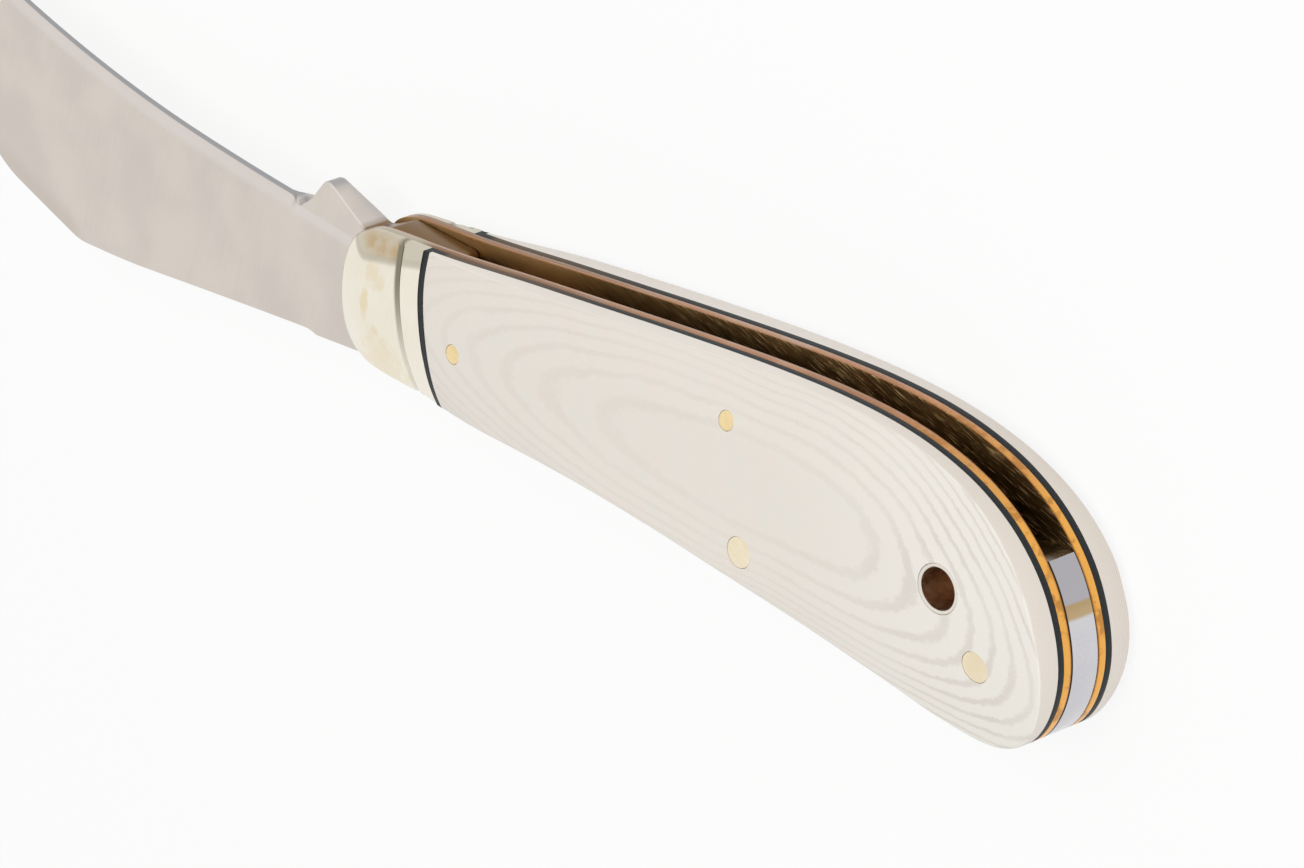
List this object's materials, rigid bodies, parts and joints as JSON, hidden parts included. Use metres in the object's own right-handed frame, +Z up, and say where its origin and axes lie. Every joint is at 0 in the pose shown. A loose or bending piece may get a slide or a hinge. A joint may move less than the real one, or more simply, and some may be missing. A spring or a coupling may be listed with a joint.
{
  "type": "folding pruning knife",
  "caption": "Hawkbill pocket knife: a broad curved pruning blade folds against a backspring into a slotted handle with ivory scales, metal bolsters and a lanyard hole.",
  "frame": {"origin": "middle of the rectangle that the open knife covers on the surface it lies on, at that surface", "axes": "+X from the blade's point to the butt of the handle, +Y to the side of the blade's slot and cutting edge, +Z up, from the far scale to the near scale"},
  "size_m": [0.1706, 0.0336, 0.014],
  "materials": {
    "blade_steel": "satin ground, fine lengthwise grain",
    "spring_steel": "satin ground",
    "liner_brass": "brushed, slightly toned",
    "black_fibre": "black fibre sheet, matt edge",
    "ivory_micarta": "ivory laminate, semi-matt, with faint contour lines where the layers are ground through",
    "nickel_silver": "nickel silver, polished",
    "pin_metal": "pale nickel brass, dressed flush",
    "pin_brass": "brass, dressed flush",
    "tube_metal": "nickel silver tube, dressed flush"
  },
  "bodies": {
    "handle": {"backspring": "spring_steel", "liner_near": "liner_brass", "liner_far": "liner_brass", "spacer_near": "black_fibre", "spacer_far": "black_fibre", "end_spacer_near": "black_fibre", "end_spacer_far": "black_fibre", "scale_near": "ivory_micarta", "scale_far": "ivory_micarta", "bolster_near": "nickel_silver", "bolster_far": "nickel_silver", "pivot_pin": "nickel_silver", "spring_pin": "pin_metal", "end_pin": "pin_metal", "lanyard_tube": "tube_metal", "scale_pins_near": "pin_brass", "scale_pins_far": "pin_brass", "bolster_rivets_near": "nickel_silver", "bolster_rivets_far": "nickel_silver"},
    "blade": {"blade": "blade_steel"}
  },
  "joints": [
    {"name": "blade_pivot", "type": "hinge", "parent": "handle", "child": "blade", "pos_m": [-0.0073, 0.00083, 0.007], "axis": [0, 0, -1], "range_deg": [0, 176], "deforming": ["backspring"]}
  ]
}
